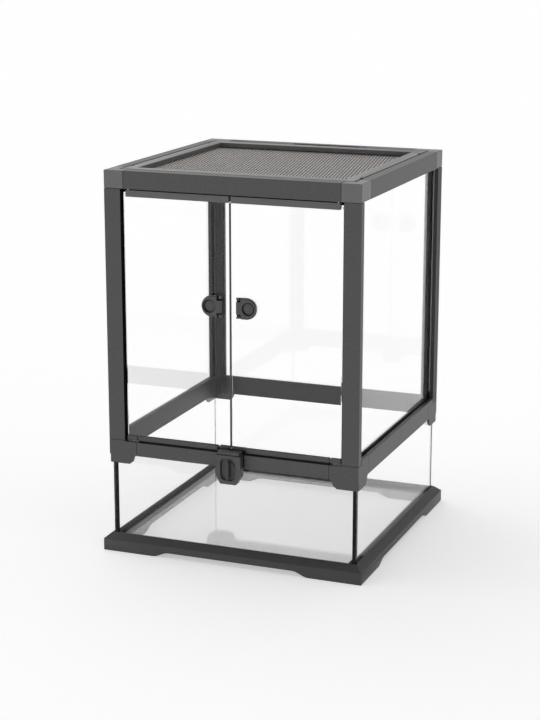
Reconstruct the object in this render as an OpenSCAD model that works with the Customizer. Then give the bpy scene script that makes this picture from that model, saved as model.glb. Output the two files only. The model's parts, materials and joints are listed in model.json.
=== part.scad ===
// Knock-down glass terrarium: a low glass tank in a moulded base, an upper frame of
// rails, posts and corner connectors that holds loose panes, a pair of hinged glass
// doors with a turn lock, and a lift-out screen lid with a cable port behind it.
// Origin: centre of the upper frame, on the surface the feet stand on. The doors face -Y.

/* [Overall] */
// Width of the upper frame
frame_w = 306; // [240:1:460]
// Depth of the upper frame
frame_d = 306; // [240:1:460]
// Height over the feet and the top frame
total_h = 450; // [330:1:620]
// How far the base stands out past the upper frame on each side
base_overhang = 7; // [4:0.5:14]

/* [Base tray] */
// Height of the upright skirt
skirt_h = 14; // [10:0.5:20]
// Height of the bevelled top edge
base_h = 21; // [18:0.5:30]
// Wall of the moulded base
base_wall = 2.5; // [2:0.1:4]
// Height of the recess between the feet
foot_recess_h = 6; // [3:0.5:8]
// Length of each foot along a side, at the ground
foot_len = 63; // [40:1:80]
// Length of the slope from a foot up to the recess
foot_slope = 20; // [8:1:30]
// Spacing of the ribs under the base
base_rib_pitch = 38; // [20:1:60]

/* [Tank] */
// Thickness of the tank panes
tank_glass_t = 4; // [3:0.5:5]
// How far the tank panes stand in from the upper frame's outer face
tank_inset = 3; // [2.5:0.1:5]
// Side of the silicone fillet in the tank's corners
silicone_fillet = 1.2; // [0.8:0.1:5]
// Thickness of the silicone between two panes
silicone_t = 0.5; // [0.3:0.1:1]

/* [Upper panes and doors] */
// Thickness of the upper panes and the doors
glass_t = 3; // [2.5:0.1:4]
// How far the upper panes stand in from the outer face
glass_inset = 6.5; // [5.5:0.1:8]

/* [Middle frame] */
// Height of the underside of the middle rails
mid_z = 117.7; // [80:0.1:160]
// Height of a side rail's outer wall
mid_wall_h = 22.3; // [20:0.1:28]
// Height of a side rail's inner lip
mid_lip_h = 24.1; // [21:0.1:30]
// Height of the front rail's sill
sill_h = 16.3; // [14:0.1:19]
// Height of the stop that the doors close against
stop_h = 19.8; // [17:0.1:20.5]
// Height of the seat that a post stands on
post_seat_h = 17.5; // [15.5:0.1:19]
// Depth of the rail from its outer to its inner face
mid_rail_d = 11.5; // [11:0.1:16]
// How far a middle corner's arms run on past the hinge axis
mid_corner_past = 6.7; // [5:0.1:20]
// How far a middle corner's skirt hangs below the rails
skirt_drop = 10.4; // [6:0.1:16]
// Width of a middle corner's skirt at its lower edge
skirt_len = 25.5; // [20:0.1:29]

/* [Posts and top frame] */
// Width of a post across the front
post_w = 20; // [18:0.5:28]
// Depth of a front post
post_front_d = 9.5; // [9:0.1:12]
// Depth of a back post
post_back_d = 16.5; // [14:0.1:22]
// Height of the top frame
top_h = 20.4; // [19:0.1:28]
// Length of a top corner's short arm
top_corner_short = 23.6; // [23.3:0.1:30]
// Length of a top corner's long arm
top_corner_long = 31.6; // [28:0.1:40]
// Outer wall of rails and posts
wall = 4.6; // [2:0.1:5]

/* [Lid] */
// Width of the lid's rim at the sides
lid_rim_side = 14.7; // [12:0.1:24]
// Width of the lid's rim at the front
lid_rim_front = 15.2; // [12:0.1:24]
// Width of the lid's rim at the back
lid_rim_back = 17.4; // [12:0.1:24]
// Depth of the lid
lid_h = 8; // [7:0.1:9]
// Depth of the screen below the lid's top
screen_depth = 5.4; // [4:0.1:6]
// Gap round the lid
lid_gap = 1.1; // [0.3:0.1:1.4]
// Pitch of the openings in the screen
screen_pitch = 12; // [6:0.5:20]
// Width of the web between two openings
screen_web = 3; // [1:0.5:5]

/* [Cable port] */
// Length of the port
port_len = 86.5; // [40:0.5:120]
// Width of the port
port_w = 6.5; // [5:0.1:7]
// Travel of the shutter
port_travel = 42; // [20:1:60]

/* [Doors] */
// Distance of the hinge axis from the post's inner face
hinge_gap = 8; // [6.5:0.5:12]
// Radius of the hinge pins
pin_r = 1.5; // [1:0.1:2]
// Thickness of the strips on the doors' edges
strip_t = 5.6; // [5:0.1:6]
// Height of the top strips
top_strip_h = 7.5; // [6:0.1:10]
// Height of the bottom strips
bottom_strip_h = 5.2; // [5:0.1:8]
// Gap between the bottom strips and the sill
door_gap_low = 2; // [1:0.1:3]
// Gap between the top strips and the top frame
door_gap_high = 1.6; // [1:0.1:3]

/* [Handles] */
// Radius of a handle's round end
handle_r = 12.1; // [10:0.1:15]
// Distance of a handle's centre from the middle of the doors
handle_x = 23; // [18:0.1:40]
// Height of a handle's centre above the middle frame's underside
handle_z = 186.8; // [100:0.1:240]
// How far a handle stands out from the glass
handle_t = 8.2; // [7:0.1:12]
// Radius of the round cap in a handle
handle_cap_r = 6.3; // [5:0.1:8]

/* [Lock] */
// Width of the lock
lock_w = 30.5; // [28:0.5:40]
// How far the lock stands out from the rail
lock_t = 9; // [8.6:0.1:12]
// Height of the knob's axis above the rails' underside
lock_axis_h = 0.1; // [-3:0.1:3]
// Lift of the bolt over the knob's quarter turn
bolt_lift = 4; // [3:0.1:5]
// Width of the bolt's head
bolt_head_w = 26.4; // [20:0.1:28]

/* [Hidden] */
$fn = 48;
eps = 0.01;
fit = 0.15;        // clearance of a tenon in its chamber
seat = 0.3;        // clearance of a pane in its slot, and between moving pieces
run_fit = 0.05;    // radial clearance of a pin that turns

hw = frame_w / 2;
hd = frame_d / 2;
bw = hw + base_overhang;
bd = hd + base_overhang;
tw = hw - tank_inset;
td = hd - tank_inset;

// Base
groove_fit = 0.3;
groove_z = 8;
ledge_z = 12;
ledge_w = 10;
base_lip = 1.6;
channel_h = 11.5;
floor_z = ledge_z + tank_glass_t;

// Sections of rails and posts, measured inwards from the outer face
slot_in = glass_inset + glass_t + seat;
tank_groove_h = 5.3;
tank_top_z = mid_z + tank_groove_h - groove_fit;
slot_floor_z = mid_z + 14.7;
sill_z = mid_z + sill_h;
stop_z = mid_z + stop_h;
post_z = mid_z + post_seat_h;
wall_z = mid_z + mid_wall_h;
lip_z = mid_z + mid_lip_h;
chamber_z0 = mid_z + 7.2;
chamber_z1 = mid_z + 12.4;
front_chamber_z1 = mid_z + 10;
sill_wall = 2;
channel_z = mid_z + 12;
tenon_len = 12;
mid_corner_len = post_w + hinge_gap + mid_corner_past;

top_z = total_h - top_h;
slot_roof_z = top_z + 6.4;
pane_top_z = slot_roof_z - 0.5;
lid_ledge_z = total_h - lid_h - 0.2;
side_rebate = 12.7;
front_rebate = 14.7;
back_rebate = 17.2;
ledge_d = 6.3;
roof = 2.5;
top_chamber_z = top_z + 8.9;
top_front_chamber_z = top_z + 3.4;

// Posts: where the slots end and where the chamber for the pegs is
front_slot_v = 6.5;
side_slot_v = 9.5;
back_slot_u = slot_in + 3.2;
back_lip_v = post_back_d;
peg_len = 10;

// Cable port
port_x0 = -36.5;
port_v0 = back_rebate - port_w;
groove_v0 = 9.9;
shutter_z = top_z + 7.6;
shutter_t = 2.2;
thumb_x = port_x0 + 6;

// Doors
hinge_v = 5.4;
hinge_inset = post_w + hinge_gap;
hinge_x = hw - hinge_inset;
hinge_y = -hd + hinge_v;
stop_v = hinge_v + strip_t / 2 + seat;
strip_end_x = hinge_x + 2.5;
shoe_x0 = hinge_x - 6.5;
shoe_x1 = hinge_x + 5.8;
door_edge_x = hinge_x + 5.5;
strip_z0 = sill_z + door_gap_low;
strip_z1 = strip_z0 + bottom_strip_h;
door_glass_z0 = strip_z0 + 4.2;
top_strip_z1 = top_z - door_gap_high;
top_strip_z0 = top_strip_z1 - top_strip_h;
door_glass_z1 = top_strip_z0 + 3;
top_stop_z = top_strip_z0 + 1.2;
keeper_z0 = strip_z0 + 3;
keeper_z1 = strip_z1 + 0.3;
left_in = 2.1;       // inner edge of the left door's glass
right_in = 0.3;      // inner edge of the right door's glass
left_keeper = 15.2;
right_keeper = 17.4;
left_strip_in = 17.6;
right_strip_in = 17.8;
glass_y0 = hinge_y - glass_t / 2;
glass_y1 = hinge_y + glass_t / 2;
strip_y0 = hinge_y - strip_t / 2;
strip_y1 = hinge_y + strip_t / 2;
pin_top = top_z + 2.6;
pin_low = sill_z - 4.2;

// Handles
handle_in = 2.2;     // from the handle's screw to the centre of its round side
handle_flat = handle_in + 12;  // from the handle's screw to its flat side
handle_zc = mid_z + handle_z;
handle_y = glass_y0 - handle_t;
handle_well_y = handle_y + 4.2;
handle_back_r = 5.2;

// Lock
lock_y = -hd - lock_t;
axis_z = mid_z + lock_axis_h;
lock_z0 = mid_z - 17.4;
lock_z1 = sill_z;
lock_chamfer_z = lock_z0 + 9.9;
lock_chamfer_x = 5.7;
dish_r = lock_w / 2 - 6;
dish_h = 26.3;
dish_floor_y = lock_y + 3.2;
wall_in_y = dish_floor_y + 1.2;
plate_y0 = -hd - 1.6;
plate_y1 = -hd - 0.2;
cavity_x = lock_w / 2 - 5;
shaft_r = 3;
flange_r = 4.3;
flange_t = 0.8;
bolt_y0 = wall_in_y + 1.2;
bolt_y1 = plate_y0 - seat;
bolt_x = cavity_x - 1.5;
bolt_z0 = mid_z - 11.2;
head_z0 = lock_z1 + seat;
head_z1 = keeper_z0 - 0.4;
head_y0 = lock_y + 1.5;
head_y1 = strip_y0 - 0.6;
crank = bolt_lift / 2 / sin(45);
crank_pin_r = 1.4;
screw_x = lock_w / 2 - 2.5;
screw_z = mid_z + 8.5;

// Lid
lid_x = hw - side_rebate - lid_gap;
lid_y0 = -hd + front_rebate + lid_gap;
lid_y1 = hd - back_rebate - lid_gap;
lid_z0 = total_h - lid_h;
screen_z = total_h - screen_depth;
screen_t = 0.6;
lid_skirt = 4.7;

frame_grey = [0.31, 0.31, 0.31];
rail_grey = [0.34, 0.34, 0.34];
corner_grey = [0.43, 0.43, 0.43];
black = [0.1, 0.1, 0.1];
steel = [0.65, 0.66, 0.68];
clear_glass = [0.8, 0.9, 0.88, 0.35];

// ---------------------------------------------------------------- helpers

// A box from its lowest to its highest corner
module block(x0, x1, y0, y1, z0, z1) {
    translate([x0, y0, z0]) cube([x1 - x0, y1 - y0, z1 - z0]);
}

// A section drawn as (inwards, up), run along the front of the frame
module run_front(len) {
    translate([0, -hd, 0]) rotate([90, 0, 90]) linear_extrude(len, center = true) children();
}

// A section drawn as (inwards, up), run along the left side of the frame
module run_left(len) {
    translate([-hw, 0, 0]) rotate([90, 0, 0]) linear_extrude(len, center = true) children();
}

module flip_x(on = true) {
    if (on) mirror([1, 0, 0]) children();
    else children();
}

module flip_y(on = true) {
    if (on) mirror([0, 1, 0]) children();
    else children();
}

// Stands a corner drawn from its outer arris, inwards along +X and +Y
module at_corner(right, back) {
    flip_x(right) flip_y(back) translate([-hw, -hd, 0]) children();
}

// A flat rectangle from (x0, y0) to (x1, y1)
module rect(x0, x1, y0, y1) {
    translate([x0, y0]) square([x1 - x0, y1 - y0]);
}

// ---------------------------------------------------------------- base

// Outline of the base across one direction: upright skirt, then a bevel to the glass
module base_outline(half, lip) {
    polygon([[-half, 0], [half, 0], [half, skirt_h], [lip, base_h], [-lip, base_h],
        [-half, skirt_h]]);
}

// Half of the recess between two feet, from the middle out: an S-shaped fall to the foot
function foot_fall(x0, x1, n) =
    [for (i = [0:n]) [x0 + (x1 - x0) * i / n, foot_recess_h * (1 + cos(180 * i / n)) / 2]];

module foot_recess(half) {
    foot_x = half - foot_len;
    fall = foot_fall(foot_x - foot_slope, foot_x, 6);
    polygon(concat([[0, -1], [0, foot_recess_h]], fall, [[foot_x, -1]]));
}

// The four recesses, one through each side
module foot_recesses() {
    for (side = [0, 1]) {
        rotate([90, 0, 0]) linear_extrude(2 * bd + 2, center = true)
            flip_x(side == 1) foot_recess(bw);
        rotate([90, 0, 90]) linear_extrude(2 * bw + 2, center = true)
            flip_x(side == 1) foot_recess(bd);
    }
}

// The hollow under the bevel, with ribs left across it
module base_channel() {
    u0 = base_wall;
    u1 = bw - tw - groove_fit - base_wall;
    difference() {
        block(-bw + u0, bw - u0, -bd + u0, bd - u0, -1, channel_h);
        block(-bw + u1, bw - u1, -bd + u1, bd - u1, -2, channel_h + 1);
        for (k = [-floor(tw / base_rib_pitch):tw / base_rib_pitch])
            block(k * base_rib_pitch - 1, k * base_rib_pitch + 1, -bd, bd, -2, channel_h + 1);
        for (k = [-floor(td / base_rib_pitch):td / base_rib_pitch])
            block(-bw, bw, k * base_rib_pitch - 1, k * base_rib_pitch + 1, -2, channel_h + 1);
    }
}

module base_tray() {
    gx = tw + groove_fit;
    gy = td + groove_fit;
    ix = tw - tank_glass_t - groove_fit;
    iy = td - tank_glass_t - groove_fit;
    color(frame_grey) difference() {
        intersection() {
            rotate([90, 0, 0]) linear_extrude(2 * bd, center = true)
                base_outline(bw, gx + base_lip);
            rotate([90, 0, 90]) linear_extrude(2 * bw, center = true)
                base_outline(bd, gy + base_lip);
        }
        block(-ix + ledge_w, ix - ledge_w, -iy + ledge_w, iy - ledge_w, -1, base_h + 1);
        block(-gx, gx, -gy, gy, ledge_z, base_h + 1);
        difference() {
            block(-gx, gx, -gy, gy, groove_z, ledge_z + 1);
            block(-ix, ix, -iy, iy, groove_z - 1, ledge_z + 2);
        }
        foot_recesses();
        base_channel();
    }
}

// ---------------------------------------------------------------- tank

module tank_floor_glass() {
    ix = tw - tank_glass_t - 0.4;
    iy = td - tank_glass_t - 0.4;
    color(clear_glass) block(-ix, ix, -iy, iy, ledge_z, floor_z);
}

module tank_front_glass() {
    color(clear_glass) block(-tw, tw, -td, -td + tank_glass_t, groove_z, tank_top_z);
}

module tank_back_glass() {
    color(clear_glass) block(-tw, tw, td - tank_glass_t, td, groove_z, tank_top_z);
}

module tank_side_glass() {
    end_y = td - tank_glass_t - silicone_t;
    block(-tw, -tw + tank_glass_t, -end_y, end_y, groove_z, tank_top_z);
}

module tank_left_glass() {
    color(clear_glass) tank_side_glass();
}

module tank_right_glass() {
    color(clear_glass) mirror([1, 0, 0]) tank_side_glass();
}

// The bead in one upright corner: the joint between two panes, and its fillet at the front
module corner_bead(f) {
    t = tank_glass_t;
    translate([-tw, -td, floor_z]) linear_extrude(mid_z - 0.2 - floor_z)
        polygon([[0, t], [t + f, t], [t, t + max(f, silicone_t)], [t, t + silicone_t],
            [0, t + silicone_t]]);
}

// The bead along one edge of the floor, drawn as (inwards, up)
module floor_bead(half_w, half_d) {
    t = tank_glass_t;
    f = silicone_fillet;
    translate([0, -half_d, 0]) rotate([90, 0, 90])
        linear_extrude(2 * (half_w - t - f), center = true)
            polygon([[t, floor_z], [t + f, floor_z], [t, floor_z + f]]);
}

module tank_silicone() {
    color(black) {
        for (right = [false, true], back = [false, true])
            flip_x(right) flip_y(back) corner_bead(back ? 0 : silicone_fillet);
        for (back = [false, true]) flip_y(back) floor_bead(tw, td);
        for (right = [false, true]) flip_x(right) rotate([0, 0, -90]) floor_bead(td, tw);
    }
}

// ---------------------------------------------------------------- middle frame

// Section of a side or back rail: tank groove below, pane slot above, a closed chamber
module mid_section() {
    difference() {
        union() {
            rect(0, wall, mid_z, wall_z);
            rect(0, mid_rail_d, mid_z, slot_floor_z);
            rect(slot_in, mid_rail_d, mid_z, lip_z);
        }
        tank_groove();
        rect(wall, slot_in, chamber_z0, chamber_z1);
    }
}

// Section of the front rail: a sill wall, a channel under the doors and the door stop
module mid_front_section() {
    difference() {
        union() {
            rect(0, sill_wall, mid_z, sill_z);
            rect(0, mid_rail_d, mid_z, channel_z);
            rect(stop_v, mid_rail_d, mid_z, stop_z);
        }
        tank_groove();
        rect(wall, slot_in, chamber_z0, front_chamber_z1);
    }
}

module tank_groove() {
    rect(tank_inset - 0.2, tank_inset + tank_glass_t + 0.2, mid_z - 1, mid_z + tank_groove_h);
}

module mid_rail_front() {
    len = frame_w - 2 * mid_corner_len;
    color(rail_grey) difference() {
        run_front(len) mid_front_section();
        lock_screw_holes();
    }
}

module mid_rail_back() {
    color(rail_grey) mirror([0, 1, 0]) run_front(frame_w - 2 * mid_corner_len) mid_section();
}

module mid_rail_left() {
    color(rail_grey) run_left(frame_d - 2 * mid_corner_len) mid_section();
}

module mid_rail_right() {
    color(rail_grey) mirror([1, 0, 0]) run_left(frame_d - 2 * mid_corner_len) mid_section();
}

// One face of the skirt that hangs below the rails, with its slanted end
module skirt_face(len) {
    rotate([90, 0, 0]) mirror([0, 0, 1]) linear_extrude(tank_inset - 0.2)
        polygon([[0, mid_z - skirt_drop], [len, mid_z - skirt_drop],
            [len + 4.4, mid_z - skirt_drop + 3.6], [len + 6.6, mid_z + eps], [0, mid_z + eps]]);
}

// Solid outline of a middle corner, before its grooves are cut
module mid_corner_outline(back) {
    arm = mid_corner_len;
    v_post = back ? post_back_d : post_front_d;
    block(0, arm, 0, mid_rail_d, mid_z, back ? slot_floor_z : sill_z);
    block(0, mid_rail_d, 0, arm, mid_z, slot_floor_z);
    block(0, post_w, 0, v_post, mid_z, post_z);
    // upright walls of the side arm, behind the post
    v_wall = back ? back_lip_v + 0.5 : post_front_d + 1.3;
    block(0, wall, v_wall, arm, mid_z, wall_z);
    block(slot_in, mid_rail_d, v_post + seat, arm, mid_z, lip_z);
    if (back) {
        block(post_w + 0.5, arm, 0, wall, mid_z, wall_z);
        block(post_w + seat, arm, slot_in, mid_rail_d, mid_z, lip_z);
    }
    skirt_face(skirt_len);
    mirror([1, -1, 0]) skirt_face(skirt_len);
}

// Tenon that enters a rail's chamber past the end of the arm
module mid_tenon(z1) {
    translate([mid_corner_len - eps, 0, 0])
        block(0, tenon_len, wall + fit, slot_in - fit, chamber_z0 + fit, z1 - fit);
}

module mid_corner(back) {
    g0 = tank_inset - 0.2;
    g1 = tank_inset + tank_glass_t + 0.2;
    far = mid_corner_len + 20;
    z0 = mid_z - skirt_drop - 1;
    difference() {
        mid_corner_outline(back);
        // groove over the tank's panes
        block(g0, g1, g0, far, z0, mid_z + tank_groove_h);
        block(g0, far, g0, g1, z0, mid_z + tank_groove_h);
        // pane slots, running on under the post
        block(wall, slot_in, back ? side_slot_v : front_slot_v, far, slot_floor_z, lip_z + 1);
        if (back) block(back_slot_u, far, wall, slot_in, slot_floor_z, lip_z + 1);
        // lead-in chamfer on the skirt's outer arris
        translate([0, 0, z0]) linear_extrude(mid_z - z0) polygon([[-1, -1], [3, -1], [-1, 3]]);
        if (!back) hinge_hole(hinge_inset, hinge_v, pin_low - 0.4, sill_z + 1);
    }
    mid_tenon(back ? chamber_z1 : front_chamber_z1);
    mirror([1, -1, 0]) mid_tenon(chamber_z1);
    post_peg(back, post_z, 1);
}

module hinge_hole(x, y, z0, z1) {
    translate([x, y, z0]) cylinder(h = z1 - z0, r = pin_r + run_fit);
}

module mid_corner_front_left() {
    color(frame_grey) at_corner(false, false) mid_corner(false);
}

module mid_corner_front_right() {
    color(frame_grey) at_corner(true, false) mid_corner(false);
}

module mid_corner_back_left() {
    color(frame_grey) at_corner(false, true) mid_corner(true);
}

module mid_corner_back_right() {
    color(frame_grey) at_corner(true, true) mid_corner(true);
}

// ---------------------------------------------------------------- posts

// The hollow of a post, which holds the pegs of the corners
module post_chamber(back, gap) {
    if (back) rect(2.5 + gap, 11 - gap, 2.5 + gap, 7.5 - gap);
    else rect(slot_in + 1.5 + gap, post_w - 2 - gap, 2 + gap, post_front_d - 2 - gap);
}

// Peg from a corner into the post, upwards (dir 1) or downwards (dir -1)
module post_peg(back, z, dir) {
    z0 = dir > 0 ? z - eps : z - peg_len;
    translate([0, 0, z0]) linear_extrude(peg_len + eps) post_chamber(back, fit);
}

module front_post() {
    translate([0, 0, post_z]) linear_extrude(top_z - post_z) difference() {
        rect(0, post_w, 0, post_front_d);
        rect(wall, slot_in, front_slot_v, post_front_d + 1);
        post_chamber(false, 0);
    }
}

// The back post has a slot for a side pane and one for the back pane
module back_post() {
    translate([0, 0, post_z]) linear_extrude(top_z - post_z) difference() {
        rect(0, post_w, 0, post_back_d);
        rect(wall, slot_in, side_slot_v, post_back_d + 1);
        rect(-1, wall + 1, back_lip_v, post_back_d + 1);
        rect(back_slot_u, post_w + 1, wall, slot_in);
        polygon([[mid_rail_d + 1, post_back_d + 1], [post_w + 1, post_back_d + 1],
            [post_w + 1, mid_rail_d], [post_w - 2, mid_rail_d],
            [mid_rail_d + 1, post_back_d - 1]]);
        post_chamber(true, 0);
    }
}

module post_front_left() {
    color(rail_grey) at_corner(false, false) front_post();
}

module post_front_right() {
    color(rail_grey) at_corner(true, false) front_post();
}

module post_back_left() {
    color(rail_grey) at_corner(false, true) back_post();
}

module post_back_right() {
    color(rail_grey) at_corner(true, true) back_post();
}

// ---------------------------------------------------------------- upper panes

module side_pane() {
    x0 = -hw + glass_inset;
    block(x0, x0 + glass_t, -hd + front_slot_v + seat, hd - side_slot_v - seat,
        slot_floor_z, pane_top_z);
}

module side_glass_left() {
    color(clear_glass) side_pane();
}

module side_glass_right() {
    color(clear_glass) mirror([1, 0, 0]) side_pane();
}

module back_glass() {
    half = hw - back_slot_u - seat;
    y1 = hd - glass_inset;
    color(clear_glass) block(-half, half, y1 - glass_t, y1, slot_floor_z, pane_top_z);
}

// ---------------------------------------------------------------- top frame

// Section of a top rail, with a rebate for the lid and a ledge under it
module top_section(rebate, chamber_in, chamber_z, slot) {
    difference() {
        rect(0, rebate + ledge_d, top_z, total_h);
        rect(rebate, rebate + ledge_d + 1, lid_ledge_z, total_h + 1);
        rect(roof, chamber_in, chamber_z, total_h - roof);
        if (slot) rect(wall, slot_in, top_z - 1, slot_roof_z);
    }
}

// The front rail has a lip behind the doors, which stops them at the top
module top_rail_front() {
    stop_x = shoe_x0 - 1.5;
    color(rail_grey) difference() {
        union() {
            run_front(frame_w - 2 * top_corner_short)
                top_section(front_rebate, front_rebate - roof, top_front_chamber_z, false);
            block(-stop_x, stop_x, -hd + stop_v, -hd + stop_v + 2.4, top_stop_z, top_z + eps);
        }
        for (x = [-hinge_x, hinge_x])
            hinge_hole(x, hinge_y, top_z - 1, top_front_chamber_z + 1);
    }
}

module top_rail_left() {
    y0 = -hd + top_corner_long;
    y1 = hd - top_corner_short;
    color(rail_grey) translate([0, (y0 + y1) / 2, 0]) run_left(y1 - y0)
        top_section(side_rebate, side_rebate - roof, top_chamber_z, true);
}

module top_rail_right() {
    mirror([1, 0, 0]) top_rail_left();
}

// The back rail carries the cable port: a slot down through it, and a groove across
// the slot in which the shutter slides
module top_rail_back() {
    color(rail_grey) mirror([0, 1, 0]) difference() {
        run_front(frame_w - 2 * top_corner_long)
            top_section(back_rebate, groove_v0 - 1.4, top_chamber_z, true);
        translate([0, -hd, 0]) {
            block(port_x0, port_x0 + port_len, port_v0, back_rebate + eps,
                top_z - 1, total_h + 1);
            block(port_x0 - 3.5, port_x0 + port_len + port_travel + 3, groove_v0,
                back_rebate - 0.1, shutter_z - 0.2, shutter_z + shutter_t + 0.2);
            block(port_x0 + port_len + 5, port_x0 + port_len + 10, port_v0 + 1.3,
                port_v0 + 3.7, shutter_z, total_h + 1);
        }
    }
}

module top_tenon(len, chamber_in, z0) {
    translate([len - eps, 0, 0])
        block(0, tenon_len, roof + fit, chamber_in - fit, z0 + fit, total_h - roof - fit);
}

module top_corner(back) {
    u_arm = back ? top_corner_long : top_corner_short;
    v_arm = back ? top_corner_short : top_corner_long;
    rebate = back ? back_rebate : front_rebate;
    difference() {
        union() {
            block(0, u_arm, 0, rebate + ledge_d, top_z, total_h);
            block(0, side_rebate + ledge_d, 0, v_arm, top_z, total_h);
        }
        block(side_rebate, u_arm + 1, rebate, v_arm + 1, lid_ledge_z, total_h + 1);
        block(wall, slot_in, back ? side_slot_v : front_slot_v, v_arm + 1,
            top_z - 1, slot_roof_z);
        if (back) block(back_slot_u, u_arm + 1, wall, slot_in, top_z - 1, slot_roof_z);
    }
    if (back) top_tenon(u_arm, groove_v0 - 1.4, top_chamber_z);
    else top_tenon(u_arm, front_rebate - roof, top_front_chamber_z);
    mirror([1, -1, 0]) top_tenon(v_arm, side_rebate - roof, top_chamber_z);
    post_peg(back, top_z, -1);
}

module top_corner_front_left() {
    color(corner_grey) at_corner(false, false) top_corner(false);
}

module top_corner_front_right() {
    color(corner_grey) at_corner(true, false) top_corner(false);
}

module top_corner_back_left() {
    color(corner_grey) at_corner(false, true) top_corner(true);
}

module top_corner_back_right() {
    color(corner_grey) at_corner(true, true) top_corner(true);
}

// ---------------------------------------------------------------- lock

// Outline of the lock from the front: square above, its lower corners cut away
module lock_outline(inset) {
    x = lock_w / 2 - inset;
    polygon([[-x, lock_z1], [-x, lock_chamfer_z], [-x + lock_chamfer_x, lock_z0 + inset],
        [x - lock_chamfer_x, lock_z0 + inset], [x, lock_chamfer_z], [x, lock_z1]]);
}

// A flat shape drawn as (x, z), given a thickness from y0 to y1
module upright(y0, y1) {
    translate([0, y1, 0]) rotate([90, 0, 0]) linear_extrude(y1 - y0) children();
}

// The finger dish round the knob
module dish(gap) {
    r = 6.2;
    translate([0, axis_z]) hull() for (u = [-1, 1], v = [-1, 1])
        translate([u * (dish_r - r), v * (dish_h / 2 - r)]) circle(r = r + gap, $fn = 40);
}

module lock_screw_holes() {
    for (s = [-1, 1]) upright(-hd - 6, -hd + mid_rail_d + 1)
        translate([s * screw_x, screw_z]) circle(r = 1.5);
}

module lock_housing() {
    color(frame_grey) difference() {
        upright(lock_y, -hd) lock_outline(0);
        upright(lock_y - 1, dish_floor_y) dish(0);
        upright(dish_floor_y - 1, wall_in_y + 1) translate([0, axis_z])
            circle(r = shaft_r + run_fit);
        // cavity of the bolt, open through a slot in the top
        block(-cavity_x, cavity_x, wall_in_y, plate_y0 + 1, lock_z0 + 3, lock_z1 - 2.5);
        block(-bolt_x - seat, bolt_x + seat, bolt_y0 - seat, plate_y0 + 1,
            lock_z0 + 3, lock_z1 + 1);
        // shadow groove down both sides, beside the rail
        for (s = [-1, 1]) flip_x(s > 0) block(-hw, -lock_w / 2 + 0.9, -hd - 2.4, -hd + 1,
            mid_z + 0.4, lock_z1 + 1);
        // seat of the back plate
        block(-screw_x + 3, screw_x - 3, plate_y0, 0, lock_z0 + 2, lock_z1 - 1);
        for (s = [-1, 1]) upright(lock_y + 3, 0) translate([s * screw_x, screw_z])
            circle(r = 1.3);
    }
}

// Plate that closes the lock behind, thickened below the rail to meet the tank
module lock_back_plate() {
    color(frame_grey) {
        block(-screw_x + 3.1, screw_x - 3.1, plate_y0, plate_y1, lock_z0 + 2.1, lock_z1 - 1.1);
        difference() {
            upright(-hd + eps, -td - 0.3) lock_outline(0.8);
            block(-bw, bw, -hd - 1, 0, mid_z - seat, total_h);
        }
        block(-screw_x + 3.1, screw_x - 3.1, plate_y0, -hd + 0.1, lock_z0 + 2.1, mid_z - seat);
    }
}

// Two screws from inside the rail into the housing
module lock_screws() {
    y1 = -hd + mid_rail_d;
    color(steel) for (s = [-1, 1]) translate([s * screw_x, 0, screw_z]) {
        rotate([90, 0, 0]) translate([0, 0, -y1]) cylinder(h = mid_rail_d + 4.5, r = 1.28);
        difference() {
            rotate([90, 0, 0]) translate([0, 0, -y1 - 1.7]) cylinder(h = 1.7, r = 2.8);
            block(-0.4, 0.4, y1 + 0.8, y1 + 2, -2.2, 2.2);
            block(-2.2, 2.2, y1 + 0.8, y1 + 2, -0.4, 0.4);
        }
    }
}

// The finger grip: a slim bar from the front, stepped out over the housing's face
module knob_fin() {
    h = 12;
    r = 120;
    half_t = 2;
    intersection() {
        rotate([90, 0, 90]) linear_extrude(2 * half_t, center = true)
            polygon([[dish_floor_y - 0.4, -8.4], [lock_y - 0.25, -8.9], [lock_y - 0.35, -h],
                [lock_y - 1.5, -h], [lock_y - 2.5, -h + 1.6], [lock_y - 2.5, h - 1.6],
                [lock_y - 1.5, h], [lock_y - 0.35, h], [lock_y - 0.25, 8.9],
                [dish_floor_y - 0.4, 8.4]]);
        upright(lock_y - 4, dish_floor_y + 1) translate([half_t - r, 0])
            circle(r = r, $fn = 120);
        upright(lock_y - 4, dish_floor_y + 1) translate([r - half_t, 0])
            circle(r = r, $fn = 120);
    }
}

module knob_disc(y0, y1, r) {
    translate([0, y1, 0]) rotate([90, 0, 0]) cylinder(h = y1 - y0, r = r);
}

// Knob, its shaft, the flange that holds it in the wall and the pin that lifts the bolt
module lock_knob() {
    color(black) translate([0, 0, axis_z]) {
        knob_disc(dish_floor_y - 1.1, dish_floor_y - fit, dish_r - 0.8);
        knob_fin();
        knob_disc(dish_floor_y - 0.7, wall_in_y + fit + 0.1, shaft_r);
        knob_disc(wall_in_y + fit, wall_in_y + fit + flange_t, flange_r);
        translate([-crank * cos(45), 0, -crank * sin(45)])
            knob_disc(wall_in_y + fit + flange_t - eps, bolt_y1, crank_pin_r);
    }
}

module lock_bolt() {
    r = crank_pin_r;
    slot_z = axis_z - crank * sin(45);
    color(frame_grey) {
        difference() {
            block(-bolt_x, bolt_x, bolt_y0, bolt_y1, bolt_z0, head_z0 + eps);
            block(-crank - r - 0.4, -crank * cos(45) + r + 0.4, bolt_y0 - 1, bolt_y1 + 1,
                slot_z - r - seat, slot_z + r + seat);
        }
        difference() {
            block(-bolt_head_w / 2, bolt_head_w / 2, head_y0, head_y1, head_z0, head_z1);
            translate([0, head_y0, head_z1]) rotate([45, 0, 0])
                cube([bolt_head_w + 2, 1, 1], center = true);
            translate([0, head_y1 + 1.2, head_z1]) cylinder(h = 1, r = 5, center = true);
        }
    }
}

// ---------------------------------------------------------------- doors

// Everything on a door is drawn for the right one; in_x is the glass's inner edge

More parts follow.
